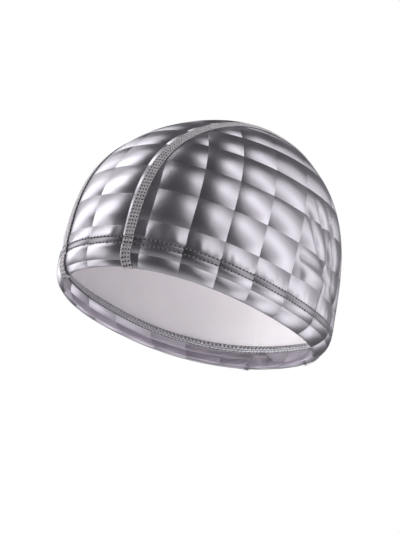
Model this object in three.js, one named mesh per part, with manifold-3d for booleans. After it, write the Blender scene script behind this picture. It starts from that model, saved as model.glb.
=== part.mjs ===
// A stretch-fabric swim cap in its worn form: a dome of three panels under two flat seams, which
// run from the front rim over the crown to the back rim, with a hem turned in all the way round.
// Millimetres, +Z up, the wearer's face towards -Y and the wearer's left side at +X. The origin
// is the middle of the rim opening, where the cap sits on a head.
import * as THREE from "three";
import Module from "manifold-3d";

const wasm = await Module();
wasm.setup();

// The dome's outer size
const HALF_WIDTH = 80.6;
const FRONT_REACH = 111;
const BACK_REACH = 99;
const HEIGHT = 156.5;
const WIDEST_HEIGHT = 19;

// The rim, which is narrower than the dome above it
const RIM_HALF_WIDTH = 71.4;
const RIM_FRONT_REACH = 94.8;
const RIM_BACK_REACH = 90;
const RIM_FRONT_RISE = 6.7;
const RIM_BACK_DROP = 0.6;

// The middle of each level leans towards the brow low down and towards the back at the crown
const BROW_LEAN = 7.2;
const CROWN_BACK = 22.2;

// How round or square the dome is: exponents of its plan and of its side view
const PLAN_SQUARENESS = 2.24;
const FRONT_SHOULDER = 3.1;
const BACK_SHOULDER = 2.85;
const CROWN_POINT = 1.57;
const CROWN_BLUNTNESS = 0.1;
const RIM_TUCK_POWER = 3;

// Fabric, hem and seams
const WALL = 1.2;
const HEM_GAP = 0.3;
const HEM_HEIGHT = 21.5;
const CLEARANCE = 0.3;
const PANEL_GAP = 0.3;
const SEAM_WIDTH = 7;
const SEAM_THICKNESS = 0.6;
const COVER_STITCH_WIDTH = 6;
const COVER_STITCH_THICKNESS = 0.6;

// Half the width of the centre panel, from seam line to middle
const CENTRE_HALF_AT_FRONT = 29.3;
const CENTRE_HALF_AT_CROWN = 33.5;
const CENTRE_HALF_AT_BACK = 30.8;

// Dents and bulges of the slack fabric. angle: degrees from the face towards the wearer's left.
// heading: degrees that the fold rises as it runs back. up: share of HEIGHT. long, wide and deep:
// shares of HALF_WIDTH, a negative depth standing out.
const FOLDS = [
  { angle: 106, up: 0.304, heading: -14, long: 0.27, wide: 0.075, deep: 0.05 },
  { angle: 105, up: 0.225, heading: -12, long: 0.27, wide: 0.11, deep: -0.03 },
];

// How finely the surface is cut: turns round the dome, steps round a folded edge and shares of
// the way from the hem to the crown
const MERIDIANS = 64;
const FOLD_STEPS = 4;
const CROWN_ROWS = [0.04, 0.08, 0.12, 0.16, 0.2, 0.25, 0.31, 0.38, 0.46, 0.55, 0.64, 0.73, 0.82, 0.91];
const HEM_ROWS = [0.33, 0.67];
const CURVE_SAMPLES = 160;

const { degToRad, lerp } = THREE.MathUtils;
const HEM_THICKNESS = 2 * WALL + HEM_GAP;
const FULL_TURN = 2 * Math.PI;
const SMALL_TURN = 0.02;
const BEYOND = HALF_WIDTH;

// Height of the rim at an angle from the face
function rimHeight(angle) {
  const ahead = Math.cos(angle);
  const middle = (RIM_FRONT_RISE - RIM_BACK_DROP) / 2;
  const tilt = (RIM_FRONT_RISE + RIM_BACK_DROP) / 2;
  return middle * ahead ** 2 + tilt * ahead;
}

// Share of its full width that the dome has left at a share of the climb to the crown. The
// blunting keeps the crown from ending in a point.
function narrowing(climb, shoulder) {
  const fullDrop = (1 + CROWN_BLUNTNESS ** 2) ** (CROWN_POINT / 2) - CROWN_BLUNTNESS ** CROWN_POINT;
  const drop = (1 - Math.min(1, climb) ** shoulder) * fullDrop + CROWN_BLUNTNESS ** CROWN_POINT;
  return Math.sqrt(Math.max(0, drop ** (2 / CROWN_POINT) - CROWN_BLUNTNESS ** 2));
}

// Point of the smooth outer surface at an angle and a height
function surfacePoint(angle, z) {
  const ahead = Math.cos(angle);
  const aside = Math.sin(angle);
  const reach = ahead > 0 ? FRONT_REACH : BACK_REACH;
  const rimReach = ahead > 0 ? RIM_FRONT_REACH : RIM_BACK_REACH;
  const tuck = (1 - rimReach / reach) * ahead ** 2 + (1 - RIM_HALF_WIDTH / HALF_WIDTH) * aside ** 2;
  const climb = Math.max(0, (z - WIDEST_HEIGHT) / (HEIGHT - WIDEST_HEIGHT));
  const descent = Math.max(0, (WIDEST_HEIGHT - z) / WIDEST_HEIGHT);
  const shoulder = lerp(FRONT_SHOULDER, BACK_SHOULDER, (1 - ahead) / 2);
  const width = narrowing(climb, shoulder) * (1 - tuck * descent ** RIM_TUCK_POWER);
  const corner = Math.abs(ahead) ** PLAN_SQUARENESS + Math.abs(aside) ** PLAN_SQUARENESS;
  const round = width * corner ** (-1 / PLAN_SQUARENESS);
  const share = z / HEIGHT;
  const middle = (CROWN_BACK + BROW_LEAN) * share ** 2 - BROW_LEAN * share;
  return new THREE.Vector3(HALF_WIDTH * aside * round, middle - reach * ahead * round, z);
}

// The surface's line from rim to crown at one angle, with the length run at each sample
function samplesUp(angle) {
  const low = rimHeight(angle);
  const samples = [];
  let run = 0;
  for (let i = 0; i <= CURVE_SAMPLES; i++) {
    const share = 1 - (1 - i / CURVE_SAMPLES) ** 2;
    const point = surfacePoint(angle, lerp(low, HEIGHT, share));
    if (i > 0) run += point.distanceTo(samples[i - 1].point);
    samples.push({ run, point });
  }
  return samples;
}

// Place along such a line at a run from the rim, and straight on below the rim
function placeAt(samples, run) {
  let i = 1;
  while (i < samples.length - 1 && samples[i].run < run) i++;
  const [a, b] = [samples[i - 1], samples[i]];
  return a.point.clone().lerp(b.point, (run - a.run) / (b.run - a.run));
}

// How far the folds push the surface inwards at a point
function foldDepth(point) {
  let depth = 0;
  for (const fold of FOLDS) {
    const angle = degToRad(fold.angle);
    const centre = surfacePoint(angle, fold.up * HEIGHT);
    const back = surfacePoint(angle + SMALL_TURN, fold.up * HEIGHT).sub(centre).normalize();
    const offset = point.clone().sub(centre);
    const [along, rise] = [offset.dot(back), offset.z];
    const heading = degToRad(fold.heading);
    const length = (along * Math.cos(heading) + rise * Math.sin(heading)) / (fold.long * HALF_WIDTH);
    const across = (rise * Math.cos(heading) - along * Math.sin(heading)) / (fold.wide * HALF_WIDTH);
    const near = offset.length() < HALF_WIDTH ? 1 : 0;
    depth += near * fold.deep * HALF_WIDTH * Math.exp(-(length ** 2) - across ** 2);
  }
  return depth;
}

// One meridian: a function that gives the point at a run above the rim and a depth inside the
// outer surface, and the meridian's whole length
function meridianAt(angle) {
  const samples = samplesUp(angle);
  const [before, after] = [samplesUp(angle - SMALL_TURN), samplesUp(angle + SMALL_TURN)];
  const total = samples.at(-1).run;
  const step = total / CURVE_SAMPLES;
  const normalAt = (run) => {
    const share = Math.min(run, total - step) / total;
    const across = placeAt(after, share * after.at(-1).run).sub(placeAt(before, share * before.at(-1).run));
    const upwards = placeAt(samples, share * total + step).sub(placeAt(samples, share * total - step));
    return across.cross(upwards).normalize();
  };
  const at = (run, depth) => {
    if (run >= total) return new THREE.Vector3(0, CROWN_BACK, HEIGHT - depth);
    const point = placeAt(samples, run);
    return point.addScaledVector(normalAt(Math.max(run, 0)), -depth - foldDepth(point));
  };
  return { at, total };
}

const LINES = Array.from({ length: MERIDIANS }, (_, i) => meridianAt((i * FULL_TURN) / MERIDIANS));

// Rows of a face that runs from the fold at the rim to just short of the crown: runs at one
// meridian. Rows keep their distance from the rim inside the hem and spread out above it.
function rowsUpTo(total) {
  const inHem = HEM_ROWS.map((share) => lerp(HEM_THICKNESS / 2, HEM_HEIGHT, share));
  const above = CROWN_ROWS.map((share) => lerp(HEM_HEIGHT, total, share));
  return [HEM_THICKNESS / 2, ...inHem, HEM_HEIGHT, ...above];
}

// The folded edge at the rim, as seen in the section: from the outer face round to the inner
// one, at a distance outside the folded cloth
function foldSection(outside) {
  const middle = HEM_THICKNESS / 2;
  const radius = middle + outside;
  const section = [];
  for (let i = 1; i < FOLD_STEPS; i++) {
    const turn = (Math.PI * i) / FOLD_STEPS;
    section.push([middle - radius * Math.sin(turn), middle - radius * Math.cos(turn)]);
  }
  return section;
}

// A closed solid from a section given at each meridian. An open section starts and ends on the
// crown's axis; a ring's section closes on itself.
function solidRound(sectionAt, ring) {
  const sections = LINES.map((line) => sectionAt(line.total).map(([run, depth]) => line.at(run, depth)));
  const count = sections[0].length;
  const vertices = sections.flat();
  const triangles = [];
  const vertex = (turn, row) => (turn % MERIDIANS) * count + (row % count);
  for (let turn = 0; turn < MERIDIANS; turn++) {
    for (let row = 0; row < (ring ? count : count - 1); row++) {
      const [a, b] = [vertex(turn, row), vertex(turn, row + 1)];
      const [c, d] = [vertex(turn + 1, row + 1), vertex(turn + 1, row)];
      triangles.push([a, b, c], [a, c, d]);
    }
  }
  if (!ring) {
    const [outerCrown, innerCrown] = [vertices.length, vertices.length + 1];
    const section = sectionAt(Infinity);
    vertices.push(LINES[0].at(Infinity, section[0][1]), LINES[0].at(Infinity, section.at(-1)[1]));
    for (let turn = 0; turn < MERIDIANS; turn++) {
      triangles.push([outerCrown, vertex(turn, 0), vertex(turn + 1, 0)]);
      triangles.push([innerCrown, vertex(turn + 1, count - 1), vertex(turn, count - 1)]);
    }
  }
  return manifoldOf(vertices, triangles);
}

// A manifold solid from shared vertices and triangles
function manifoldOf(vertices, triangles) {
  return new wasm.Manifold(
    new wasm.Mesh({
      numProp: 3,
      vertProperties: new Float32Array(vertices.flatMap((v) => v.toArray())),
      triVerts: new Uint32Array(triangles.flat()),
    }),
  );
}

// The whole cloth: the wall, turned in at the rim and up again as far as the hem's raw edge
function clothSection(total) {
  const rows = rowsUpTo(total);
  const inHem = rows.filter((run) => run <= HEM_HEIGHT);
  return [
    ...rows.toReversed().map((run) => [run, 0]),
    ...foldSection(0),
    ...inHem.map((run) => [run, HEM_THICKNESS]),
    ...inHem.toReversed().map((run) => [run, WALL + HEM_GAP]),
    ...rows.map((run) => [run, WALL]),
  ];
}

// A skin that follows the cloth outside, round the rim and up the inside of the hem, as far as
// the cover stitch: the seams are cut from it
function skinSection(total) {
  const rows = rowsUpTo(total);
  const top = HEM_HEIGHT - COVER_STITCH_WIDTH / 2 - CLEARANCE;
  const inHem = [...rows.filter((run) => run < top), top];
  const outer = CLEARANCE + SEAM_THICKNESS;
  return [
    ...rows.toReversed().map((run) => [run, -outer]),
    ...foldSection(outer),
    ...inHem.map((run) => [run, HEM_THICKNESS + outer]),
    ...inHem.toReversed().map((run) => [run, HEM_THICKNESS + CLEARANCE]),
    ...foldSection(CLEARANCE).toReversed(),
    ...rows.map((run) => [run, -CLEARANCE]),
  ];
}

// The band of cover stitches over the hem's raw edge: it steps down from the hem to the wall
function coverStitchSection() {
  const [low, high] = [HEM_HEIGHT - COVER_STITCH_WIDTH / 2, HEM_HEIGHT + COVER_STITCH_WIDTH / 2];
  const onHem = HEM_THICKNESS + CLEARANCE;
  const onWall = WALL + CLEARANCE;
  const edge = HEM_HEIGHT + CLEARANCE;
  return [
    [low, onHem + COVER_STITCH_THICKNESS],
    [edge, onHem + COVER_STITCH_THICKNESS],
    [high, onWall + COVER_STITCH_THICKNESS],
    [high, onWall],
    [edge, onHem],
    [low, onHem],
  ];
}

// An upright wedge that holds everything between two lines across the cap. Each side is given
// by its distance from the middle plane at the front rim, at the back rim and at the crown.
function wedge(left, right) {
  const [front, back] = [-FRONT_REACH - BEYOND, BACK_REACH + BEYOND];
  const [low, high] = [-BEYOND, HEIGHT + BEYOND];
  const corner = (side, y, z) => {
    const level = lerp(side.front, side.back, (y + FRONT_REACH) / (FRONT_REACH + BACK_REACH));
    return new THREE.Vector3(lerp(level, side.crown, z / HEIGHT), y, z);
  };
  const corners = [front, back].flatMap((y) => [low, high].flatMap((z) => [corner(left, y, z), corner(right, y, z)]));
  const faces = [
    [0, 1, 3, 2],
    [4, 6, 7, 5],
    [0, 2, 6, 4],
    [1, 5, 7, 3],
    [0, 4, 5, 1],
    [2, 3, 7, 6],
  ];
  return manifoldOf(
    corners,
    faces.flatMap(([a, b, c, d]) => [
      [a, b, c],
      [a, c, d],
    ]),
  );
}

// The seam's line on one side, moved away from the middle plane by a distance
function seamLine(side, moved) {
  return {
    front: side * (CENTRE_HALF_AT_FRONT + moved),
    back: side * (CENTRE_HALF_AT_BACK + moved),
    crown: side * (CENTRE_HALF_AT_CROWN + moved),
  };
}

const LEFT = 1;
const RIGHT = -1;

function centrePanel(cloth) {
  return cloth.intersect(wedge(seamLine(RIGHT, -PANEL_GAP / 2), seamLine(LEFT, -PANEL_GAP / 2)));
}

function sidePanel(cloth, side) {
  const lines = [seamLine(side, PANEL_GAP / 2), seamLine(side, HALF_WIDTH + BEYOND)];
  return cloth.intersect(wedge(...(side === LEFT ? lines : lines.toReversed())));
}

function seamBand(skin, side) {
  const lines = [seamLine(side, -SEAM_WIDTH / 2), seamLine(side, SEAM_WIDTH / 2)];
  return skin.intersect(wedge(...(side === LEFT ? lines : lines.toReversed())));
}

// A named three.js mesh from a solid
function meshOf(name, solid, material) {
  const { numProp, vertProperties, triVerts } = solid.getMesh();
  const geometry = new THREE.BufferGeometry();
  const places = new THREE.BufferAttribute(new Float32Array(vertProperties), numProp);
  geometry.setAttribute("position", places);
  geometry.setIndex(new THREE.BufferAttribute(new Uint32Array(triVerts), 1));
  geometry.computeVertexNormals();
  const mesh = new THREE.Mesh(geometry, material);
  mesh.name = name;
  return mesh;
}

const silverCloth = new THREE.MeshStandardMaterial({ color: 0xa9a8b2, roughness: 0.35, metalness: 0.7 });
const seamThread = new THREE.MeshStandardMaterial({ color: 0x8f8d99, roughness: 0.8, metalness: 0 });
const stitchThread = new THREE.MeshStandardMaterial({ color: 0x9a98a2, roughness: 0.85, metalness: 0 });

const cloth = solidRound(clothSection, false);
const skin = solidRound(skinSection, false);
const coverStitch = solidRound(coverStitchSection, true);

const swimCap = new THREE.Group();
swimCap.add(
  meshOf("centre_panel", centrePanel(cloth), silverCloth),
  meshOf("left_side_panel", sidePanel(cloth, LEFT), silverCloth),
  meshOf("right_side_panel", sidePanel(cloth, RIGHT), silverCloth),
  meshOf("left_seam", seamBand(skin, LEFT), seamThread),
  meshOf("right_seam", seamBand(skin, RIGHT), seamThread),
  meshOf("hem_cover_stitch", coverStitch, stitchThread),
);

export default swimCap;
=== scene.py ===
"""A checked silver swim cap, dressed in cloth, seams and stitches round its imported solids."""

import math

import bmesh
import bpy
import numpy as np
from mathutils import Matrix, Vector


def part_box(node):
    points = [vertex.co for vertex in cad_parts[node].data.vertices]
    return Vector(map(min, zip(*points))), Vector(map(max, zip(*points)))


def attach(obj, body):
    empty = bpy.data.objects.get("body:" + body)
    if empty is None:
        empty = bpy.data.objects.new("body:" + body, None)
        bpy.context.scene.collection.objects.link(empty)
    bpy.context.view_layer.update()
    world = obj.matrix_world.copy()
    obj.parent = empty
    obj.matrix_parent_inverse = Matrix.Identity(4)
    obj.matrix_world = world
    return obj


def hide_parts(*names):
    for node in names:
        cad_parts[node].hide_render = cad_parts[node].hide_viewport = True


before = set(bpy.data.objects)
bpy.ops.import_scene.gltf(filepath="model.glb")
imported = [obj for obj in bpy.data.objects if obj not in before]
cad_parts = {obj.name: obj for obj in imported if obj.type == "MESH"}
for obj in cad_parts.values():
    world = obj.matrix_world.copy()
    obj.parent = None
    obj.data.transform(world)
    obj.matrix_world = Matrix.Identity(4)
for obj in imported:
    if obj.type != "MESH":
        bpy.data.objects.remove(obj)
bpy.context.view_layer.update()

bl_info = {
    "name": "Swim cap",
    "version": (1, 0, 0),
    "blender": (4, 5, 0),
    "location": "3D View > Sidebar > Swim cap",
    "description": "Sews a checked stretch swim cap with flat seams and a stitched hem",
    "category": "Object",
}

MM = 0.001
BODY = "root"


# Sizes and colours that a user would change

def length(name, description, default):
    """A length in metres, shown in the scene's unit."""
    return bpy.props.FloatProperty(
        name=name, description=description, default=default, min=0, max=1, unit="LENGTH", precision=5
    )


def share(name, description, default, low=0.0, high=1.0):
    """A plain number."""
    return bpy.props.FloatProperty(
        name=name, description=description, default=default, min=low, max=high, precision=4
    )


def colour(name, description, default):
    """A scene-linear colour."""
    return bpy.props.FloatVectorProperty(
        name=name, description=description, default=default, size=3, min=0, max=1, subtype="COLOR"
    )


def dome_defaults():
    """The dome's outer size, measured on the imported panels."""
    lean_at_widest = 0.44 * MM
    front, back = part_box("centre_panel")[0].y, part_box("centre_panel")[1].y
    return {
        "half_width": -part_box("right_side_panel")[0].x,
        "height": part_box("centre_panel")[1].z,
        "front_reach": -front - lean_at_widest,
        "back_reach": back + lean_at_widest,
    }


DOME = dome_defaults()


class SwimCapForm(bpy.types.PropertyGroup):
    """The dome and its rim."""

    half_width: length("Half width", "From the middle to the side, at the widest level", DOME["half_width"])
    front_reach: length("Front reach", "From the middle to the brow", DOME["front_reach"])
    back_reach: length("Back reach", "From the middle to the nape", DOME["back_reach"])
    height: length("Height", "From the side of the rim to the crown", DOME["height"])
    widest_height: length("Widest height", "Height of the widest level", 19 * MM)
    rim_half_width: length("Rim half width", "From the middle to the rim at the side", 71.4 * MM)
    rim_front_reach: length("Rim front reach", "Reach at the brow, if the rim were level", 94.8 * MM)
    rim_back_reach: length("Rim back reach", "Reach at the nape, if the rim were level", 90 * MM)
    rim_front_rise: length("Rim front rise", "How far the rim rises at the brow", 6.7 * MM)
    rim_back_drop: length("Rim back drop", "How far the rim drops at the nape", 0.6 * MM)
    brow_lean: length("Brow lean", "How far low levels lean towards the brow", 7.2 * MM)
    crown_back: length("Crown back", "How far the crown lies behind the middle", 22.2 * MM)
    plan_squareness: share("Plan squareness", "Exponent of the plan, 2 for an ellipse", 2.24, 1.5, 4)
    front_shoulder: share("Front shoulder", "How full the dome is above the brow", 3.1, 1.5, 6)
    back_shoulder: share("Back shoulder", "How full the dome is above the nape", 2.85, 1.5, 6)
    crown_point: share("Crown point", "Exponent of the crown, 2 for a round one", 1.57, 1.2, 3)
    crown_bluntness: share("Crown bluntness", "Keeps the crown from ending in a point", 0.1, 0.01, 0.5)
    rim_tuck_power: share("Rim tuck", "How suddenly the dome turns in to the rim", 3, 1, 6)


class SwimCapSewing(bpy.types.PropertyGroup):
    """Cloth, hem, seams and stitches."""

    wall: length("Cloth", "Thickness of the cloth", 1.1 * MM)
    fold: length("Folded edge", "Thickness of the folded hem", 2.7 * MM)
    hem: length("Hem", "Height of the turned-in hem", 21.5 * MM)
    centre_front: length("Centre half width, front", "Seam to middle at the front rim", 29.3 * MM)
    centre_crown: length("Centre half width, crown", "Seam to middle at the crown", 33.5 * MM)
    centre_back: length("Centre half width, back", "Seam to middle at the back rim", 30.8 * MM)
    seam_width: length("Seam width", "Width of the flat seam", 7 * MM)
    seam_pitch: length("Seam stitch", "Length of one stitch of the flat seam", 2.6 * MM)
    seam_thread: length("Seam thread", "Radius of the flat seam's threads", 0.38 * MM)
    needle_low: length("Lower stitch row", "Height of the hem's lower row of stitches", 17.4 * MM)
    needle_high: length("Upper stitch row", "Height of the hem's upper row of stitches", 21.6 * MM)
    needle_pitch: length("Hem stitch", "Length of one stitch of the hem", 2.95 * MM)
    needle_thread: length("Hem thread", "Radius of the hem's needle thread", 0.36 * MM)
    cover_width: length("Cover stitch width", "Width of the looping over the raw edge", 6 * MM)
    cover_pitch: length("Cover stitch", "Length of one loop of the cover stitch", 2.95 * MM)
    cover_thread: length("Cover thread", "Radius of the cover stitch's thread", 0.4 * MM)


class SwimCapFinish(bpy.types.PropertyGroup):
    """Colours and the checked print."""

    silver: colour("Silver", "Colour of the coated face", (0.618, 0.590, 0.650))
    reverse: colour("Reverse", "Colour of the knit's plain side", (0.87, 0.84, 0.865))
    seam: colour("Seam thread", "Colour of the flat seam's threads", (1.0, 0.96, 1.0))
    # Painted shadow: the dark colour seen between the flat seam's threads, also used in the hem's needle
    # holes
    seam_gap: colour("Seam gaps", "Colour between the flat seam's threads", (0.11, 0.105, 0.12))
    needle: colour("Needle thread", "Colour of the hem's needle thread", (0.50, 0.49, 0.54))
    cover: colour("Cover thread", "Colour of the cover stitch's thread", (0.66, 0.65, 0.69))
    check_width: length("Check width", "Width of one check", 28 * MM)
    check_height: length("Check height", "Height of one check", 24 * MM)
    check_swell: share("Check swell", "Slope of a check's pillow at its upper and lower edge", 0.5)
    check_roll: share("Check roll", "Slope of a check's pillow at its two sides", 0.31)
    # Painted highlight: how much lighter the colour is along each check's falling diagonal, and darker at
    # its other two corners
    check_painted_highlight: share("Check shade", "How much lighter a check is along its falling diagonal", 0.5)
    check_tone: share("Check tone", "How much the checks differ from each other", 0.2)


def sizes():
    """The three groups of values that the operators read."""
    scene = bpy.context.scene
    return scene.swim_cap_form, scene.swim_cap_sewing, scene.swim_cap_finish


# The dome's surface

def unit(vectors):
    """Vectors at length one."""
    return vectors / np.maximum(np.linalg.norm(vectors, axis=-1, keepdims=True), 1e-12)


def rim_height(form, angle):
    """Height of the rim at an angle from the face, a quarter turn being the wearer's left."""
    ahead = np.cos(angle)
    middle = (form.rim_front_rise - form.rim_back_drop) / 2
    tilt = (form.rim_front_rise + form.rim_back_drop) / 2
    return middle * ahead**2 + tilt * ahead


def outline_share(form, ahead, aside, z):
    """Share of the full outline that the dome fills in a direction at a height."""
    point, blunt = form.crown_point, form.crown_bluntness
    climb = np.clip((z - form.widest_height) / (form.height - form.widest_height), 0, 1)
    descent = np.maximum(0, (form.widest_height - z) / form.widest_height)
    shoulder = form.front_shoulder + (form.back_shoulder - form.front_shoulder) * (1 - ahead) / 2
    full_drop = (1 + blunt**2) ** (point / 2) - blunt**point
    drop = (1 - climb**shoulder) * full_drop + blunt**point
    narrowing = np.sqrt(np.maximum(0, drop ** (2 / point) - blunt**2))
    front_tuck = 1 - form.rim_front_reach / form.front_reach
    back_tuck = 1 - form.rim_back_reach / form.back_reach
    side_tuck = 1 - form.rim_half_width / form.half_width
    tuck = np.where(ahead > 0, front_tuck, back_tuck) * ahead**2 + side_tuck * aside**2
    power = form.plan_squareness
    corner = np.abs(ahead) ** power + np.abs(aside) ** power
    return narrowing * (1 - tuck * descent**form.rim_tuck_power) * corner ** (-1 / power)


def middle_line(form, z):
    """How far behind the origin the middle of a level lies."""
    level = z / form.height
    return (form.crown_back + form.brow_lean) * level**2 - form.brow_lean * level


def dome_points(form, angle, z):
    """Points of the smooth outer surface at angles and heights."""
    ahead, aside = np.cos(angle), np.sin(angle)
    reach = np.where(ahead > 0, form.front_reach, form.back_reach)
    full = outline_share(form, ahead, aside, z)
    return np.stack(
        [form.half_width * aside * full, middle_line(form, z) - reach * ahead * full, z], axis=-1
    )


def inside_dome(form, x, y, z):
    """Whether points lie inside the smooth outer surface."""
    forward = middle_line(form, z) - y
    a = x / form.half_width
    b = forward / np.where(forward > 0, form.front_reach, form.back_reach)
    far = np.maximum(np.hypot(a, b), 1e-9)
    return (far < outline_share(form, b / far, a / far, z)) & (z < form.height)


def seam_distance(form, sewing, y, z):
    """How far the seam lies from the middle plane at a place."""
    along = (y + form.front_reach) / (form.front_reach + form.back_reach)
    low = sewing.centre_front + (sewing.centre_back - sewing.centre_front) * along
    return low + (sewing.centre_crown - low) * z / form.height


class Columns:
    """Lines up the cloth from the rim, each with points, outward normals and runs."""

    def __init__(self, points, turned=False):
        rise = np.gradient(points, axis=1)
        across = np.gradient(points, axis=0)
        normals = unit(np.cross(across, rise))
        self.points = points
        self.normals = -normals if turned else normals
        steps = np.linalg.norm(np.diff(points, axis=1), axis=-1)
        self.runs = np.concatenate([np.zeros((len(points), 1)), np.cumsum(steps, axis=1)], axis=1)

    def total(self):
        return self.runs[:, -1]

    def lay(self, rows):
        """Points at rows of (share of the whole run, run added, depth inside the surface)."""
        laid = np.empty((len(self.points), len(rows), 3))
        facing = np.empty_like(laid)
        for i, (line, normals, runs) in enumerate(zip(self.points, self.normals, self.runs)):
            at = rows[:, 0] * runs[-1] + rows[:, 1]
            for k in range(3):
                laid[i, :, k] = np.interp(at, runs, line[:, k])
                facing[i, :, k] = np.interp(at, runs, normals[:, k])
        facing = unit(facing)
        return laid - rows[None, :, 2:3] * facing, facing


SAMPLES = 420


def meridian_columns(form, angles):
    """Columns from the rim to the crown at angles from the face."""
    low = rim_height(form, angles)[:, None]
    climb = 1 - (1 - np.linspace(0, 0.9995, SAMPLES)[None, :]) ** 2
    heights = low + (form.height - low) * climb
    return Columns(dome_points(form, angles[:, None], heights))


def strip_columns(form, sewing, shares):
    """Columns from the front rim over the crown to the back rim. A share of 1 is the left seam."""
    pivot_y, pivot_z = form.crown_back / 2, form.widest_height * 1.5
    past = 0.5
    turns = np.linspace(-past, math.pi + past, SAMPLES)[None, :]
    near = np.zeros((len(shares), SAMPLES))
    far = np.full_like(near, form.front_reach + form.height)
    along = shares[:, None] * np.ones_like(near)

    def at(reach):
        y = pivot_y - reach * np.cos(turns)
        z = pivot_z + reach * np.sin(turns)
        return along * seam_distance(form, sewing, y, z), y, z

    for _ in range(40):
        reach = (near + far) / 2
        inside = inside_dome(form, *at(reach))
        near, far = np.where(inside, reach, near), np.where(inside, far, reach)
    x, y, z = at(near)
    ahead = (middle_line(form, z) - y) / form.front_reach
    level = np.hypot(ahead, x / form.half_width)
    above = z - rim_height(form, np.arccos(np.clip(ahead / level, -1, 1)))
    dense = np.stack([x, y, z], axis=-1)
    columns = []
    for line, height in zip(dense, above):
        up = np.nonzero(height > 0)[0]
        first, last = up[0], up[-1]
        enter = first - height[first] / (height[first] - height[first - 1])
        leave = last + height[last] / (height[last] - height[last + 1])
        at_index = np.linspace(enter, leave, 2 * SAMPLES)
        columns.append([np.interp(at_index, np.arange(len(line)), line[:, k]) for k in range(3)])
    return Columns(np.transpose(np.array(columns), (0, 2, 1)))


# Rows of the cloth, from the hem's raw edge round the folded edge and up the outside: share of the
# column, run added to it, depth under the surface, and run on the fabric itself

FOLD_STEPS = 8


def hem_rows(sewing, step, top):
    """Rows of the turned-in hem, from a height inside it."""
    middle = sewing.fold / 2
    count = max(2, round((top - middle) / step))
    rows = [
        (0, run, sewing.fold, (2 - math.pi) * middle - run)
        for run in np.linspace(top, middle, count, endpoint=False)
    ]
    for turn in np.linspace(math.pi, 0, FOLD_STEPS + 1):
        run, depth = middle - middle * math.sin(turn), middle - middle * math.cos(turn)
        rows.append((0, run, depth, middle - middle * turn))
    return rows


def panel_rows(sewing, step, total):
    """Rows of a panel that ends at the crown."""
    low = np.arange(sewing.fold / 2 + step, sewing.hem * 1.5, step)
    shares = np.linspace(0, 1, round((total - low[-1]) / step))[1:]
    rows = hem_rows(sewing, step, sewing.hem)
    rows += [(0, run, 0, run) for run in low]
    rows += [(s, (1 - s) * low[-1], 0, (1 - s) * low[-1]) for s in shares]
    return np.array(rows)


def strip_rows(sewing, step, total, top):
    """Rows of a strip with a hem at both ends."""
    hem = hem_rows(sewing, step, top)
    edge = sewing.fold / 2
    shares = np.linspace(0, 1, round((total - 2 * edge) / step))[1:-1]
    rows = [(s, edge * (1 - 2 * s), 0, edge * (1 - 2 * s)) for s in shares]
    return np.array(hem + rows + [(1, -run, depth, -fabric) for _, run, depth, fabric in hem[::-1]])


def lay_cloth(form, sewing, columns, rows, mirror=1):
    """Points of the slack cloth, the surface's facing and the run on the fabric."""
    points, facing = columns.lay(rows)
    turn = np.array([mirror, 1, 1])
    points, facing = points * turn, facing * turn
    total = columns.total()[:, None]
    run = rows[:, 0] * total + rows[:, 1]
    if rows[-1, 0] == 1 and rows[-1, 1] < 0:
        run = np.minimum(run, total - run)
    points = points + slack(form, sewing, points, run)[..., None] * facing
    return points, facing, rows[:, 0] * total + rows[:, 3]


def widths_from(points, middle, fabric, foot):
    """Distance along each row from the middle column. Below the foot each column keeps the distance
    that it has there, because the hem is only turned in."""
    steps = np.linalg.norm(np.diff(points, axis=0), axis=-1)
    walked = np.concatenate([np.zeros((1, points.shape[1])), np.cumsum(steps, axis=0)])
    walked -= walked[middle]
    low = np.argmax(fabric[middle] >= foot)
    walked[:, :low] = walked[:, low : low + 1]
    return walked


# The printed checks, measured on the cloth

# Where the checks' upright lines cross the hem of a side panel, from the seam at the brow to the
# one at the nape, along the cloth from the middle of the side. Those from -86.4 to 32.6 were measured
# in the photograph, and the others are spaced on by about the width of a check
CHECK_LINES = np.array([-142, -114, -86.4, -60.5, -33.1, -2.4, 32.6, 63, 91, 119, 147, 175]) * MM
# How far they lean, and where the first level line lies on the sides and on the strip
CHECK_LEAN = 0.095
CHECK_FOOT = 11 * MM
STRIP_FOOT = 5.5 * MM


def side_checks(finish, across, height):
    """Check coordinates on a side panel from places along the cloth."""
    straight = across - CHECK_LEAN * (height - CHECK_FOOT)
    return np.stack(
        [
            np.interp(straight, CHECK_LINES, np.arange(len(CHECK_LINES))),
            (height - CHECK_FOOT) / finish.check_height,
        ],
        axis=-1,
    )


def strip_checks(finish, across, along):
    """Check coordinates on the centre panel, where the checks' slant is mirrored, so that the painted
    highlight along each check's diagonal slants the other way.
    """
    middle = -1.5 * MM
    return np.stack(
        [(middle - across) / finish.check_width, (along - STRIP_FOOT) / finish.check_height], axis=-1
    )


# Folds, puckers and slack in the cloth

# Folds behind the wearer's left temple, where the slack cloth gathers towards one place above the
# hem: places along the fold (degrees from the face, millimetres up), half width and depth in
# millimetres. A negative depth stands out.
FOLDS = [
    ([(92, 47.5), (98, 46.5), (108, 45), (117, 40)], 3.0, 2.1),
    ([(94, 35), (104, 36), (114, 35)], 9.5, -1.5),
    ([(93, 88), (102, 64), (107.5, 53), (115, 43.5)], 2.7, 1.7),
    ([(101, 97), (107, 77), (110, 67), (117, 44)], 2.6, 1.8),
    ([(109, 102), (115.8, 74), (118, 62), (120, 41)], 2.6, 1.9),
    ([(117, 42), (124, 34), (131, 26), (131, 17)], 2.8, 1.8),
]

# Share of half a fold's length over which it fades out at its end
FOLD_TAPER = 0.45


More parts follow.
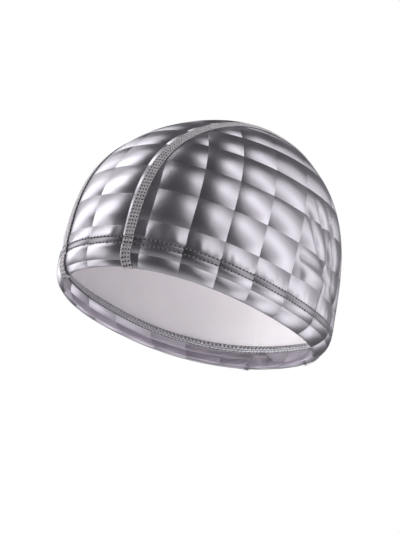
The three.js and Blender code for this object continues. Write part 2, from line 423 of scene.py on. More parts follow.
def fold_depth(form, points):
    """How far the folds push points in."""
    depth = np.zeros(points.shape[:-1])
    for places, width, deep in FOLDS:
        angles, heights = np.array(places).T
        at = np.linspace(0, 1, 32)
        knots = np.linspace(0, 1, len(places))
        line = dome_points(
            form, np.radians(np.interp(at, knots, angles)), np.interp(at, knots, heights) * MM
        )
        away = np.linalg.norm(points[..., None, :] - line, axis=-1)
        from_end = 1 - np.abs(2 * at[np.argmin(away, axis=-1)] - 1)
        level = np.clip((from_end + 0.06) / FOLD_TAPER, 0, 1)
        taper = level * level * (3 - 2 * level)
        depth += deep * MM * taper * np.exp(-((np.min(away, axis=-1) / (width * MM)) ** 2))
    return depth


# Heights of shallow waves over the dome, of the dip along a row of stitches, of its unevenness and
# of the puckers above the upper row, in millimetres
WAVE, DIP, UNEVEN, PUCKER = 0.3, 0.42, 0.25, 0.3


def slack(form, sewing, points, run):
    """How far the cloth stands out from the smooth dome, from the place and the run from the rim."""
    x, y, z = points[..., 0], points[..., 1], points[..., 2]
    round_rim = np.arctan2(x, -y)
    loose = np.clip(run / (60 * MM), 0, 1)
    out = WAVE * MM * loose * np.sin(x / (15 * MM) + 2.1) * np.sin(y / (19 * MM) + z / (27 * MM))
    pull = np.sin(61 * round_rim + 2.3 * np.sin(7 * round_rim)) * np.sin(23 * round_rim + 1)
    for row in (sewing.needle_low, sewing.needle_high):
        out -= (DIP + UNEVEN * pull) * MM * np.exp(-(((run - row) / (1.3 * MM)) ** 2))
    above = (run - sewing.needle_high - 3 * MM) / (5 * MM)
    out += PUCKER * MM * pull * np.exp(-(above**2))
    return out - fold_depth(form, points)


# Meshes

def grid_faces(across, up):
    """Quads of a grid of points, stored one column after the other."""
    i, j = np.meshgrid(np.arange(across - 1), np.arange(up - 1), indexing="ij")
    a = (i * up + j).ravel()
    return np.stack([a, a + up, a + up + 1, a + 1], axis=1)


def mesh_of(name, points, faces, uv=None, **marks):
    """A smooth-shaded object from points and quads, with a UV and named numbers for each point."""
    mesh = bpy.data.meshes.new(name)
    mesh.from_pydata(points.reshape(-1, 3).tolist(), [], faces.tolist())
    if uv is not None:
        layer = mesh.uv_layers.new(name="fabric")
        corners = np.array([loop.vertex_index for loop in mesh.loops])
        layer.data.foreach_set("uv", uv.reshape(-1, 2)[corners].astype(np.float32).ravel())
    for mark, values in marks.items():
        layer = mesh.attributes.new(mark, "FLOAT", "POINT")
        layer.data.foreach_set("value", values.astype(np.float32).ravel())
    mesh.shade_smooth()
    piece = bpy.data.objects.new(name, mesh)
    bpy.context.scene.collection.objects.link(piece)
    return piece


def settle(piece):
    """Turns an object with modifiers into a plain mesh."""
    depsgraph = bpy.context.evaluated_depsgraph_get()
    done = bpy.data.meshes.new_from_object(piece.evaluated_get(depsgraph))
    piece.modifiers.clear()
    old = piece.data
    piece.data = done
    done.name = piece.name
    bpy.data.meshes.remove(old)
    return piece


def cut_at_seam(piece, form, sewing, side):
    """Cuts a side panel off at its seam."""
    bm = bmesh.new()
    bm.from_mesh(piece.data)
    for vertex in bm.verts:
        vertex.co.x -= side * seam_distance(form, sewing, vertex.co.y, vertex.co.z)
    everything = bm.verts[:] + bm.edges[:] + bm.faces[:]
    bmesh.ops.bisect_plane(
        bm, geom=everything, plane_co=(0, 0, 0), plane_no=(side, 0, 0), clear_inner=True
    )
    for vertex in bm.verts:
        vertex.co.x += side * seam_distance(form, sewing, vertex.co.y, vertex.co.z)
    bm.to_mesh(piece.data)
    bm.free()


def thicken(piece, sewing, look):
    """Gives a sheet its thickness, with the coated face outside and the plain knit inside."""
    for finish in cloth_finishes(sewing, look):
        piece.data.materials.append(finish)
    solidify = piece.modifiers.new("wall", "SOLIDIFY")
    solidify.thickness = sewing.wall
    solidify.offset = -1
    solidify.material_offset = 1
    solidify.material_offset_rim = 1
    return settle(piece)


def dress(piece, node):
    """Hangs a piece on the body that it rides on, and hides the solid that it stands for, if one is given.
    """
    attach(piece, BODY)
    if node:
        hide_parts(node)


# Paths of seams and stitches

def seam_path(form, sewing, side, inside=False):
    """The line of a seam and its way across. Outside it runs from the hem's inner face at the brow to
    the folded edge at the nape, and inside from hem to hem along the plain side of the cloth."""
    columns = strip_columns(form, sewing, side + np.array([-0.05, 0, 0.05]))
    rows = strip_rows(sewing, MM, columns.total()[1], sewing.hem)
    if inside:
        rows = rows[(rows[:, 2] == 0) & (rows[:, 0] > 0) & (rows[:, 0] < 1)]
        rows[:, 2] = sewing.wall
        clear = round(sewing.hem / MM)
        rows = rows[clear:-clear]
    else:
        rows = rows[(rows[:, 0] < 1) | (rows[:, 2] < 0.3 * sewing.fold)]
    points, _, _ = lay_cloth(form, sewing, columns, rows)
    return points[1], points[2] - points[0]


def hem_path(form, sewing, run, depth):
    """A closed line round the cap at a run above the rim, and its way up the cloth."""
    columns = meridian_columns(form, np.linspace(0, 2 * math.pi, 721)[:-1])
    rows = np.array([(0, run, depth, run), (0, run + MM, depth, run)])
    points, _, _ = lay_cloth(form, sewing, columns, rows)
    return points[:, 0], points[:, 1] - points[:, 0]


def spread_along(path, across, spacing, closed):
    """Places at even spacing along a path, each in the middle of its step. With them come the way along
    the path and the way out of the cloth, given the way across or up it."""
    if closed:
        path, across = (np.concatenate([values, values[:1]]) for values in (path, across))
    walked = np.concatenate([[0], np.cumsum(np.linalg.norm(np.diff(path, axis=0), axis=1))])
    count = round(walked[-1] / spacing)
    at = (np.arange(count) + 0.5) * walked[-1] / count
    line, way = (
        np.stack([np.interp(at, walked, values[:, k]) for k in range(3)], axis=-1)
        for values in (path, across)
    )
    if closed:
        along = unit(np.roll(line, -1, axis=0) - np.roll(line, 1, axis=0))
    else:
        along = unit(np.gradient(line, axis=0))
    return line, along, unit(np.cross(way, along))


def skin(name, points, closed):
    """A closed mesh over sections of points. It meets itself, or else has a face at each end."""
    count, around = points.shape[:2]
    steps = np.arange(count if closed else count - 1)
    i, j = (grid.ravel() for grid in np.meshgrid(steps, np.arange(around), indexing="ij"))
    after, beside = (i + 1) % count, (j + 1) % around
    faces = np.stack([i, after, after, i], axis=1) * around + np.stack([j, j, beside, beside], axis=1)
    piece = mesh_of(name, points, faces)
    bm = bmesh.new()
    bm.from_mesh(piece.data)
    bm.verts.ensure_lookup_table()
    if not closed:
        bm.faces.new(bm.verts[:around])
        bm.faces.new(bm.verts[-around:])
    bmesh.ops.recalc_face_normals(bm, faces=bm.faces[:])
    bm.to_mesh(piece.data)
    bm.free()
    return piece


def band(name, line, out, side, section):
    """A band along a line, with a section of points: place to the side, and height."""
    return skin(name, np.stack([line + a * side + h * out for a, h in section], axis=1), False)


# Node trees

class Socket:
    """A node's output. An expression on it adds Math nodes."""

    def __init__(self, graph, socket):
        self.graph, self.socket = graph, socket

    def math(self, operation, *values):
        return self.graph.add("ShaderNodeMath", {"operation": operation}, *values)

    def __add__(self, other):
        return self.math("ADD", self, other)

    __radd__ = __add__

    def __sub__(self, other):
        return self.math("SUBTRACT", self, other)

    def __rsub__(self, other):
        return self.math("SUBTRACT", other, self)

    def __mul__(self, other):
        return self.math("MULTIPLY", self, other)

    __rmul__ = __mul__

    def __truediv__(self, other):
        return self.math("DIVIDE", self, other)

    def __rtruediv__(self, other):
        return self.math("DIVIDE", other, self)

    def __neg__(self):
        return self * -1.0

    def fraction(self):
        return self.math("FRACT", self)

    def floor(self):
        return self.math("FLOOR", self)


class Graph:
    """A node tree and the one way that nodes are added to it."""

    def __init__(self, tree):
        self.tree = tree

    def add(self, kind, settings, *values, output=0, **named):
        """A node of a type with its settings, and values or links for its inputs in order or by name."""
        node = self.tree.nodes.new(kind)
        for key, value in settings.items():
            setattr(node, key, value)
        for key, value in [*enumerate(values), *named.items()]:
            if value is not None:
                self.feed(node.inputs[key], value)
        return Socket(self, node.outputs[output]) if node.outputs else None

    def feed(self, into, value):
        if isinstance(value, Socket):
            self.tree.links.new(value.socket, into)
        else:
            into.default_value = value

    def vector(self, x, y, z):
        return self.add("ShaderNodeCombineXYZ", {}, x, y, z)

    def parts(self, vector):
        """The three numbers of a vector."""
        first = self.add("ShaderNodeSeparateXYZ", {}, vector)
        return [Socket(self, out) for out in first.socket.node.outputs]


class Finish(Graph):
    """A material on the Principled shader."""

    def __init__(self, name, **uniform):
        self.material = bpy.data.materials.new(name)
        self.material.use_nodes = True
        super().__init__(self.material.node_tree)
        self.shader = self.tree.nodes["Principled BSDF"]
        for socket, value in uniform.items():
            self.set(socket.title(), value)

    def set(self, name, value):
        self.feed(self.shader.inputs[name], value)

    def mix(self, factor, first, second):
        """A colour between two, or past them."""
        settings = {"data_type": "RGBA", "clamp_factor": False}
        unused = [None] * 5
        return self.add("ShaderNodeMix", settings, factor, *unused, first, second, output=2)

    def noise(self, place, scale, detail=2.0):
        """Soft noise from 0 to 1."""
        return self.add("ShaderNodeTexNoise", {}, Vector=place, Scale=scale, Detail=detail)

    def place(self):
        """Object coordinates, in metres."""
        return self.add("ShaderNodeTexCoord", {}, output=3)

    def relief(self, height, distance, normal=None):
        """A bump of a height between 0 and 1 times a distance in metres."""
        return self.add("ShaderNodeBump", {}, Distance=distance, Height=height, Normal=normal)


def rgba(value, strength=1.0):
    return (*(strength * x for x in value), 1.0)


def knit_relief(finish, place, normal=None):
    """The fine grain of the knit, under half a millimetre across."""
    grain = finish.noise(place, 1400.0, 1.0)
    return finish.relief(grain, 0.00006, normal)


FACE_METALLIC = 0.94
FACE_ROUGHNESS = 0.31
# Painted shade: how much darker the face is painted between the rows of hem stitches, where their groove
# lies, and in a fold;
# and the depth of the groove that each row draws
STITCH_BAND_PAINTED_SHADE, FOLD_PAINTED_SHADE = 0.7, 0.85
GROOVE_DEPTH = 0.35 * MM


def checked_cloth(sewing, look):
    """The coated face. Each check swells like a small pillow, so it mirrors its own streak, and its colour
    carries a painted highlight along its falling diagonal. Along the two rows of hem stitches the cloth is
    drawn in, rougher and painted darker as painted shade of their groove, and the folds are painted darker
    as painted shade too."""
    finish = Finish("checked_silver", metallic=FACE_METALLIC)
    u, v, _ = finish.parts(finish.add("ShaderNodeUVMap", {"uv_map": "fabric"}))
    p, q = 2 * u.fraction() - 1, 2 * v.fraction() - 1
    tone = finish.add(
        "ShaderNodeTexWhiteNoise", {"noise_dimensions": "2D"}, finish.vector(u.floor(), v.floor(), 0.0)
    )
    place = finish.place()
    # Painted highlight: lighter along each check's falling diagonal, where the lights' streak lies, and
    # darker at its other two corners
    painted_streak = 1.0 / (1.0 + 1.3 * ((p + q) * (p + q)))
    shade = 0.5 + look.check_painted_highlight * (painted_streak - 0.5) + (tone - 0.5) * look.check_tone
    run = finish.add("ShaderNodeAttribute", {"attribute_name": "rim_run"}, output=2)
    gap = sewing.needle_high - sewing.needle_low
    off = (run - (sewing.needle_low + gap / 2)) * (1.8 / gap)
    # Painted shade between the two stitch rows, where their groove is; the same mask also makes the cloth
    # rougher there
    stitch_band_shade_and_dullness = 1.0 / (1.0 + (off * off) * (off * off))
    # Painted shade in the folds, from how deep each point lies in one
    crease = finish.add("ShaderNodeAttribute", {"attribute_name": "crease"}, output=2)
    shade = shade - STITCH_BAND_PAINTED_SHADE * stitch_band_shade_and_dullness - FOLD_PAINTED_SHADE * crease
    finish.set("Base Color", finish.mix(shade, rgba(look.silver, 0.65), rgba(look.silver, 1.4)))
    finish.set("Roughness", FACE_ROUGHNESS + 0.1 * finish.noise(place, 60.0) + 0.12 * stitch_band_shade_and_dullness)
    roll = look.check_roll * look.check_width / (look.check_swell * look.check_height)
    pillow = finish.relief(-(roll * (p * p) + q * q), look.check_swell * look.check_height / 4)
    low, high = ((run - row) * (1 / MM) for row in (sewing.needle_low, sewing.needle_high))
    dips = 1.0 / (1.0 + low * low) + 1.0 / (1.0 + high * high)
    grooved = finish.relief(-dips, GROOVE_DEPTH, pillow)
    finish.set("Normal", knit_relief(finish, place, grooved))
    return finish.material


def plain_knit(look):
    """The knit's uncoated reverse."""
    finish = Finish("plain_knit", roughness=0.95)
    place = finish.place()
    shade = finish.noise(place, 40.0)
    finish.set("Base Color", finish.mix(shade, rgba(look.reverse, 0.94), rgba(look.reverse, 1.05)))
    finish.set("Normal", knit_relief(finish, place))
    return finish.material


def thread_finish(name, tint):
    """Twisted sewing thread."""
    finish = Finish(name, roughness=0.7)
    place = finish.place()
    shade = finish.noise(place, 900.0)
    finish.set("Base Color", finish.mix(shade, rgba(tint, 0.75), rgba(tint, 1.25)))
    finish.set("Normal", finish.relief(finish.noise(place, 4000.0), 0.0001))
    return finish.material


def finish_named(name, make, *values):
    """A material by its name, made the first time it is asked for."""
    return bpy.data.materials.get(name) or make(*values)


def cloth_finishes(sewing, look):
    """The coated face and the reverse."""
    outer = finish_named("checked_silver", checked_cloth, sewing, look)
    return outer, finish_named("plain_knit", plain_knit, look)


def thread_named(name, tint):
    """A thread's finish by its name."""
    return finish_named(name, thread_finish, name, tint)


class StitchTree(Graph):
    """Geometry Nodes that sew one motif of threads at each guide point."""

    def __init__(self, name, sizes):
        super().__init__(bpy.data.node_groups.new(name, "GeometryNodeTree"))
        face = self.tree.interface
        face.new_socket("Guide", in_out="INPUT", socket_type="NodeSocketGeometry")
        for size in sizes:
            face.new_socket(size, in_out="INPUT", socket_type="NodeSocketFloat")
        face.new_socket("Thread", in_out="INPUT", socket_type="NodeSocketMaterial")
        face.new_socket("Stitches", in_out="OUTPUT", socket_type="NodeSocketGeometry")
        self.given = self.add("NodeGroupInput", {}).socket.node.outputs
        self.threads = self.add("GeometryNodeJoinGeometry", {})

    def input(self, name):
        """One of the tree's own inputs."""
        return Socket(self, self.given[name])

    def thread(self, radius, start, middle, end, steps=4):
        """One arched thread of the motif: x along the stitches, y across them, z out of the cloth."""
        arc = self.add(
            "GeometryNodeCurveQuadraticBezier", {}, steps,
            self.vector(*start), self.vector(*middle), self.vector(*end),
        )
        ring = self.add("GeometryNodeCurvePrimitiveCircle", {}, Resolution=5, Radius=radius)
        ends = {"Profile Curve": ring, "Fill Caps": True}
        tube = self.add("GeometryNodeCurveToMesh", {}, arc, **ends)
        self.feed(self.threads.socket.node.inputs[0], tube)

    def direction(self, name):
        """A direction stored at each guide point."""
        return self.add("GeometryNodeInputNamedAttribute", {"data_type": "FLOAT_VECTOR"}, name)

    def sew(self):
        """Ends the tree: the motif at each guide point, as real mesh."""
        turn = self.add(
            "FunctionNodeAxesToRotation", {"primary_axis": "Z", "secondary_axis": "X"},
            self.direction("out"), self.direction("along"),
        )
        smooth = self.add("GeometryNodeSetShadeSmooth", {}, self.threads)
        placed = self.add(
            "GeometryNodeInstanceOnPoints", {}, self.input("Guide"), Instance=smooth, Rotation=turn
        )
        real = self.add("GeometryNodeRealizeInstances", {}, placed)
        done = self.add("GeometryNodeSetMaterial", {}, real, None, self.input("Thread"))
        self.add("NodeGroupOutput", {}, done)
        return self.tree


def flat_seam_stitch():
    """One stitch of a flat seam: four needle threads and the threads that cross between them."""
    tree = StitchTree("flat_seam_stitch", ["Pitch", "Width", "Radius"])
    pitch, width, radius = tree.input("Pitch"), tree.input("Width"), tree.input("Radius")
    lines = [-0.5 * width, -0.17 * width, 0.17 * width, 0.5 * width]
    for i, line in enumerate(lines):
        shift = 0.25 * pitch * (i % 2)
        tree.thread(
            radius, (shift - 0.36 * pitch, line, -0.3 * radius), (shift, line, 1.7 * radius),
            (shift + 0.36 * pitch, line, -0.3 * radius),
        )
    for i, (line, beyond) in enumerate(zip(lines, lines[1:])):
        for reach, rise in ((0.42, 1.9), (-0.42, 1.1)):
            tree.thread(
                radius, (-reach * pitch, line, -0.2 * radius),
                (0.0, 0.5 * (line + beyond), rise * radius), (reach * pitch, beyond, -0.2 * radius), 3,
            )
    return tree.sew()


def needle_hole():
    """A short, thick thread in the dark colour, sunk where the needle thread goes in between two stitches:
    the painted shadow of the needle hole.
    """
    tree = StitchTree("needle_hole", ["Pitch", "Radius"])
    middle, radius = 0.5 * tree.input("Pitch"), tree.input("Radius")
    sunk = -1.1 * radius
    tree.thread(
        2.2 * radius, (middle - 1.3 * radius, 0.0, sunk), (middle, 0.0, -0.9 * radius),
        (middle + 1.3 * radius, 0.0, sunk), 2,
    )
    return tree.sew()


def needle_stitch():
    """One needle stitch of the hem, dipping into the cloth at both ends."""
    tree = StitchTree("needle_stitch", ["Pitch", "Radius"])
    pitch, radius = tree.input("Pitch"), tree.input("Radius")
    tree.thread(
        radius, (-0.3 * pitch, 0.0, -0.7 * radius), (0.0, 0.0, 1.6 * radius),
        (0.3 * pitch, 0.0, -0.7 * radius),
    )
    return tree.sew()


def cover_stitch():
    """One loop of the cover stitch, from the hem's face over its raw edge to the wall behind."""
    tree = StitchTree("cover_stitch", ["Pitch", "Width", "Step", "Radius"])
    pitch, width, radius = tree.input("Pitch"), tree.input("Width"), tree.input("Radius")
    low, high, step = 0.5 * width, -0.5 * width, tree.input("Step")
    edge = (0.0, -0.1 * width, 2.4 * radius)
    tree.thread(radius, (-0.5 * pitch, low, 0.0), edge, (0.0, high, -1.0 * step), 5)
    tree.thread(radius, (0.0, high, -1.0 * step), edge, (0.5 * pitch, low, 0.0), 5)
    for line, deep in ((0.8 * low, 0.0), (0.12 * low, 0.0), (0.85 * high, step)):
        tree.thread(
            radius, (-0.4 * pitch, line, -1.0 * deep), (0.0, line, 2.2 * radius - deep),
            (0.4 * pitch, line, -1.0 * deep),
        )
    return tree.sew()


def sew_along(name, line, along, out, make_tree, values, finish):
    """A piece with one motif at each point of a line."""
    piece = mesh_of(name, line, np.zeros((0, 4), int))
    for attribute, vectors in (("along", along), ("out", out)):
        layer = piece.data.attributes.new(attribute, "FLOAT_VECTOR", "POINT")
        layer.data.foreach_set("vector", vectors.astype(np.float32).ravel())
    tree = make_tree()
    modifier = piece.modifiers.new("stitches", "NODES")
    modifier.node_group = tree
    for item in tree.interface.items_tree:
        if item.name in values:
            modifier[item.identifier] = values[item.name]
        if item.name == "Thread":
            modifier[item.identifier] = finish
    return settle(piece)


# The pieces

CLOTH_STEP = 1.5 * MM
BAND_STEP = 1.4 * MM
SEAM_RAISE = 0.45 * MM


class SWIMCAP_OT_centre_panel(bpy.types.Operator):
    """Make the strip of cloth from the brow over the crown to the nape"""

    bl_idname = "swimcap.centre_panel"
    bl_label = "Centre panel"

    def execute(self, context):
        form, sewing, look = sizes()
        shares = np.linspace(-1, 1, 45)
        columns = strip_columns(form, sewing, shares)
        rows = strip_rows(sewing, CLOTH_STEP, columns.total().mean(), sewing.hem)
        points, _, fabric = lay_cloth(form, sewing, columns, rows)
        across = widths_from(points, len(shares) // 2, fabric, 0)
        uv = strip_checks(look, across, fabric)
        run = np.minimum(fabric, columns.total()[:, None] - fabric)
        faces = grid_faces(*points.shape[:2])
        piece = mesh_of("centre_panel_cloth", points, faces, uv, rim_run=run)
        thicken(piece, sewing, look)
        dress(piece, "centre_panel")
        return {"FINISHED"}


class SWIMCAP_OT_side_panels(bpy.types.Operator):
    """Make the two side panels of cloth"""

    bl_idname = "swimcap.side_panels"
    bl_label = "Side panels"

    def execute(self, context):
        form, sewing, look = sizes()
        for name, node, side in (
            ("left_side_cloth", "left_side_panel", 1),
            ("right_side_cloth", "right_side_panel", -1),
        ):
            angles = np.linspace(math.radians(12), math.radians(168), 210)
            columns = meridian_columns(form, angles)
            rows = panel_rows(sewing, CLOTH_STEP, columns.total().mean())
            points, _, fabric = lay_cloth(form, sewing, columns, rows, side)
            middle = np.argmin(np.abs(angles - math.pi / 2))
            across = widths_from(points, middle, fabric, sewing.hem)
            uv = side_checks(look, across, fabric)
            faces = grid_faces(*points.shape[:2])[:, ::side]
            # Painted shade: how deep each point lies in a fold, which darkens the face's colour there
            crease = np.clip(fold_depth(form, points) / (2 * MM), 0, 1)
            piece = mesh_of(name, points, faces, uv, rim_run=fabric, crease=crease)
            cut_at_seam(piece, form, sewing, side)
            thicken(piece, sewing, look)
            dress(piece, node)
        return {"FINISHED"}


class SWIMCAP_OT_flat_seams(bpy.types.Operator):
    """Make the two flat seams, each a low band of cloth edges under four rows of thread, the band painted
    dark as painted shadow between the threads
    """

    bl_idname = "swimcap.flat_seams"
    bl_label = "Flat seams"

    def execute(self, context):
        form, sewing, look = sizes()
        gap_shadows = thread_named("seam_gaps", look.seam_gap)
        threads = thread_named("seam_threads", look.seam)
        half = sewing.seam_width / 2
        section = [
            (half * math.cos(t), SEAM_RAISE * math.sin(t) ** 0.4)
            for t in np.linspace(0, math.pi, 9)
        ] + [(-0.95 * half, -0.35 * MM), (0.95 * half, -0.35 * MM)]
        flat_section = [(0.8 * a, 0.25 * h) for a, h in section]
        values = {
            "Pitch": sewing.seam_pitch,
            "Width": sewing.seam_width - 2 * sewing.seam_thread,
            "Radius": sewing.seam_thread,
        }
        for node, side in (("left_seam", 1), ("right_seam", -1)):
            path, across = seam_path(form, sewing, side)
            line, along, out = spread_along(path, across, BAND_STEP, False)
            # The band under the threads is painted dark: painted shadow seen between them
            under = band(node + "_band", line, out, np.cross(out, along), section)
            under.data.materials.append(gap_shadows)
            dress(under, node)
            line, along, out = spread_along(path, across, sewing.seam_pitch, False)
            top = line + SEAM_RAISE * out
            sewn = sew_along(node + "_threads", top, along, out, flat_seam_stitch, values, threads)
            dress(sewn, node)
            path, across = seam_path(form, sewing, side, inside=True)
            line, along, out = spread_along(path, across, BAND_STEP, False)
            back = band(node + "_back", line, -out, np.cross(out, along), flat_section)
            back.data.materials.append(cloth_finishes(sewing, look)[1])
            dress(back, node)
        return {"FINISHED"}


class SWIMCAP_OT_hem_stitches(bpy.types.Operator):
    """Make the two rows of needle stitches outside the hem and the looping over its raw edge"""

    bl_idname = "swimcap.hem_stitches"
    bl_label = "Hem stitches"

    def execute(self, context):
        form, sewing, look = sizes()
        needle = thread_named("needle_thread", look.needle)
        gap_shadows = thread_named("seam_gaps", look.seam_gap)
        values = {"Pitch": sewing.needle_pitch, "Radius": sewing.needle_thread}
        # The second part puts painted shadow in each needle hole, as a short dark thread
        parts = (("threads", needle_stitch, needle), ("hole_shadows", needle_hole, gap_shadows))
        for row, run in (("lower", sewing.needle_low), ("upper", sewing.needle_high)):
            path, up = hem_path(form, sewing, run, 0)
            line, along, out = spread_along(path, -up, sewing.needle_pitch, True)
            over = seam_closeness(form, sewing, line) * (SEAM_RAISE + sewing.seam_thread)
            line = line + over[:, None] * out
            for part, make, finish in parts:
                name = f"{row}_needle_row_{part}"
                sewn = sew_along(name, line, along, out, make, values, finish)
                dress(sewn, None)
        self.cover(form, sewing, look)
        return {"FINISHED"}

    def cover(self, form, sewing, look):
        """The looping: a low band over the raw edge, painted a darker copy of the thread's colour as
        painted shadow between the loops, and the loops on it.
        """
        # Painted shadow: the band under the loops is a darker copy of the cover thread's colour
        gap_shadows = thread_named("cover_gaps", [0.3 * value for value in look.cover])
        threads = thread_named("cover_threads", look.cover)
        face, wall = sewing.fold, sewing.wall
        raw, half = sewing.hem, sewing.cover_width / 2
        sunk, proud = 0.25 * MM, 0.3 * MM
        rows = [
            (raw - half, face - sunk), (raw - half, face + proud / 2), (raw - 0.8 * half, face + proud),
            (raw + 0.05 * half, face + proud), (raw + 0.3 * half, face), (raw + 0.55 * half, wall + proud),
            (raw + 0.95 * half, wall + proud), (raw + half, wall - sunk),
        ]
        columns = meridian_columns(form, np.linspace(0, 2 * math.pi, 361)[:-1])
        rows = np.array([(0, run, deep, run) for run, deep in rows])
        laid, _, _ = lay_cloth(form, sewing, columns, rows)
        under = skin("hem_cover_band", laid, True)
        under.data.materials.append(gap_shadows)
        dress(under, "hem_cover_stitch")
        path, up = hem_path(form, sewing, raw, face + proud)
        line, along, out = spread_along(path, up, sewing.cover_pitch, True)
        values = {
            "Pitch": sewing.cover_pitch,
            "Width": sewing.cover_width - 2 * sewing.cover_thread,
            "Step": face - wall,
            "Radius": sewing.cover_thread,
        }
        sewn = sew_along("hem_cover_threads", line, along, out, cover_stitch, values, threads)
        dress(sewn, "hem_cover_stitch")


def seam_closeness(form, sewing, line):
    """1 on a seam and 0 away from it."""
    x, y, z = line.T
    off = np.abs(np.abs(x) - seam_distance(form, sewing, y, z))
    return np.clip(1.6 - off / (sewing.seam_width / 2), 0, 0.6) / 0.6


class SWIMCAP_OT_stage(bpy.types.Operator):
    """Make the floor, the studio light and the camera at the photograph's angle"""

    bl_idname = "swimcap.stage"
    bl_label = "Stage"

    def execute(self, context):
        place_camera()
        lay_floor()
        light_studio()
        return {"FINISHED"}


# The photograph's size in pixels and the camera that was fitted to it, in degrees, metres and pixels
PHOTO_WIDTH = 400
PHOTO_HEIGHT = 533
CAMERA_AZIMUTH = 45.41
CAMERA_ELEVATION = -18.33
CAMERA_ROLL = 9.7
CAMERA_TARGET = (0, 0, 60 * MM)
CAMERA_DISTANCE = 1639 * MM
FOCAL_PIXELS = 2351.3
CENTRE_PIXEL = (211.2, 247.6)
SENSOR = 36


def camera_axes():
    """Right, up and back of the camera."""
    a, e, roll = (math.radians(x) for x in (CAMERA_AZIMUTH, CAMERA_ELEVATION, CAMERA_ROLL))
    back = Vector((math.sin(a) * math.cos(e), -math.cos(a) * math.cos(e), math.sin(e)))
    level = (-back).cross(Vector((0, 0, 1))).normalized()
    upright = level.cross(-back)
    right = level * math.cos(roll) + upright * math.sin(roll)
    return right, back.cross(right), back


def place_camera():
    """The camera that was fitted to the cap's outline in the photograph."""
    data = bpy.data.cameras.new("camera")
    data.sensor_width = SENSOR
    data.lens = FOCAL_PIXELS / PHOTO_HEIGHT * SENSOR
    data.shift_x = (PHOTO_WIDTH / 2 - CENTRE_PIXEL[0]) / PHOTO_HEIGHT
    data.shift_y = (CENTRE_PIXEL[1] - PHOTO_HEIGHT / 2) / PHOTO_HEIGHT
    data.clip_start, data.clip_end = 0.01, 50
    camera = bpy.data.objects.new("camera", data)
    bpy.context.scene.collection.objects.link(camera)
    right, up, back = camera_axes()
    place = Vector(CAMERA_TARGET) + back * CAMERA_DISTANCE
    turn = Matrix((right, up, back)).transposed().to_4x4()
    camera.matrix_world = Matrix.Translation(place) @ turn
    bpy.context.scene.camera = camera


FLOOR_DEPTH = 1.2
FLOOR_HALF = 8.0


def lay_floor():
    """A plain pale floor, well below the held-up cap."""
    mesh = bpy.data.meshes.new("floor")
    sides = ((-1, -1), (1, -1), (1, 1), (-1, 1))
    corners = [(FLOOR_HALF * x, FLOOR_HALF * y, -FLOOR_DEPTH) for x, y in sides]
    mesh.from_pydata(corners, [], [(0, 1, 2, 3)])
    floor = bpy.data.objects.new("floor", mesh)
    pale = Finish("pale_floor", roughness=0.9)
    pale.set("Base Color", (0.8, 0.8, 0.8, 1))
    mesh.materials.append(pale.material)
    bpy.context.scene.collection.objects.link(floor)


# Softboxes in the camera's axes (right, up, back) from the cap's middle, in metres: name, place, what
# it points at, height and width, power in watts and spread in degrees. The low box lights the inside
# from under the opening and isn't mirrored in the cloth
MIDDLE = (0, 0, 0)
SOFTBOXES = [
    ("right_box", (1.42, 0.54, 0.10), MIDDLE, 2.8, 0.95, 4.7, 180),
    ("right_wall", (1.42, 0.26, -0.03), MIDDLE, 3.2, 3.0, 18, 180),
    ("top_box", (0.85, 1.2, 0.05), MIDDLE, 1.0, 0.8, 0.7, 180),
    ("right_low_box", (0.95, -0.74, 0.10), MIDDLE, 1.0, 1.0, 2.2, 180),
    ("left_box", (-1.24, 0.70, -0.45), MIDDLE, 2.2, 1.1, 7.6, 180),
    ("left_low_box", (-1.14, -0.14, 0.28), MIDDLE, 0.9, 0.8, 2.1, 180),
    ("left_wall", (-1.17, 0.68, -0.80), MIDDLE, 3.0, 2.3, 18, 180),
    ("low_box", (-0.085, -0.135, 0.02), (0.03, -0.05, -0.09), 0.14, 0.14, 0.128, 100),
]
# How far the boxes' tops lean towards the camera
SOFTBOX_LEAN = 0.6
# Colour and strength of the world's own light
WORLD_LIGHT = ((0.95, 0.94, 1.0, 1), 0.058)


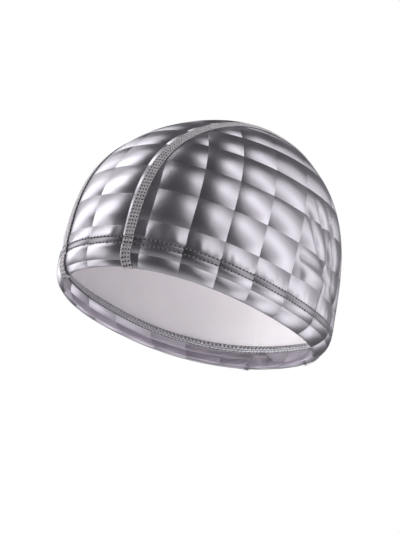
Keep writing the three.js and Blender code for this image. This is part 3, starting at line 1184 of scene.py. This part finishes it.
def light_studio():
    """Soft boxes round the cap, and a world that is white to look at."""
    right, up, back = camera_axes()
    centre = Vector((0, 0, 70 * MM))
    axes = Matrix((right, up, back)).transposed()
    for name, place, target, high, wide, power, spread in SOFTBOXES:
        data = bpy.data.lights.new(name, "AREA")
        data.shape, data.size, data.size_y, data.energy = "RECTANGLE", high, wide, power
        data.spread = math.radians(spread)
        lamp = bpy.data.objects.new(name, data)
        lamp.visible_camera = False
        lamp.visible_glossy = name != "low_box"
        away = (axes @ (Vector(place) - Vector(target))).normalized()
        lean = up + back * SOFTBOX_LEAN
        upright = (lean - away * lean.dot(away)).normalized()
        turn = Matrix((upright, away.cross(upright), away)).transposed().to_4x4()
        lamp.matrix_world = Matrix.Translation(centre + axes @ Vector(place)) @ turn
        bpy.context.scene.collection.objects.link(lamp)
    world = bpy.data.worlds.new("studio")
    world.use_nodes = True
    world.node_tree.nodes.clear()
    studio = Graph(world.node_tree)
    light = studio.add("ShaderNodeBackground", {}, *WORLD_LIGHT)
    seen = studio.add("ShaderNodeBackground", {}, (1, 1, 1, 1), 1.0)
    camera_ray = studio.add("ShaderNodeLightPath", {})
    both = studio.add("ShaderNodeMixShader", {}, camera_ray, light, seen)
    studio.add("ShaderNodeOutputWorld", {}, both)
    bpy.context.scene.world = world
    bpy.context.scene.view_settings.view_transform = "Standard"


class SWIMCAP_PT_panel(bpy.types.Panel):
    """The cap's sizes and pieces"""

    bl_idname = "SWIMCAP_PT_panel"
    bl_label = "Swim cap"
    bl_space_type = "VIEW_3D"
    bl_region_type = "UI"
    bl_category = "Swim cap"

    def draw(self, context):
        for operator in PIECES:
            self.layout.operator(operator.bl_idname)
        for group in GROUPS:
            box = self.layout.box()
            values = getattr(context.scene, group)
            for name in values.bl_rna.properties.keys():
                if name not in ("rna_type", "name"):
                    box.prop(values, name)


PIECES = (
    SWIMCAP_OT_centre_panel,
    SWIMCAP_OT_side_panels,
    SWIMCAP_OT_flat_seams,
    SWIMCAP_OT_hem_stitches,
    SWIMCAP_OT_stage,
)
GROUPS = {
    "swim_cap_form": SwimCapForm,
    "swim_cap_sewing": SwimCapSewing,
    "swim_cap_finish": SwimCapFinish,
}
CLASSES = (*GROUPS.values(), *PIECES, SWIMCAP_PT_panel)


def register():
    for made in CLASSES:
        bpy.utils.register_class(made)
    for name, group in GROUPS.items():
        setattr(bpy.types.Scene, name, bpy.props.PointerProperty(type=group))


def unregister():
    for name in GROUPS:
        delattr(bpy.types.Scene, name)
    for made in reversed(CLASSES):
        bpy.utils.unregister_class(made)


def main():
    register()
    for operator in PIECES:
        family, name = operator.bl_idname.split(".")
        getattr(getattr(bpy.ops, family), name)()


if __name__ == "__main__":
    main()
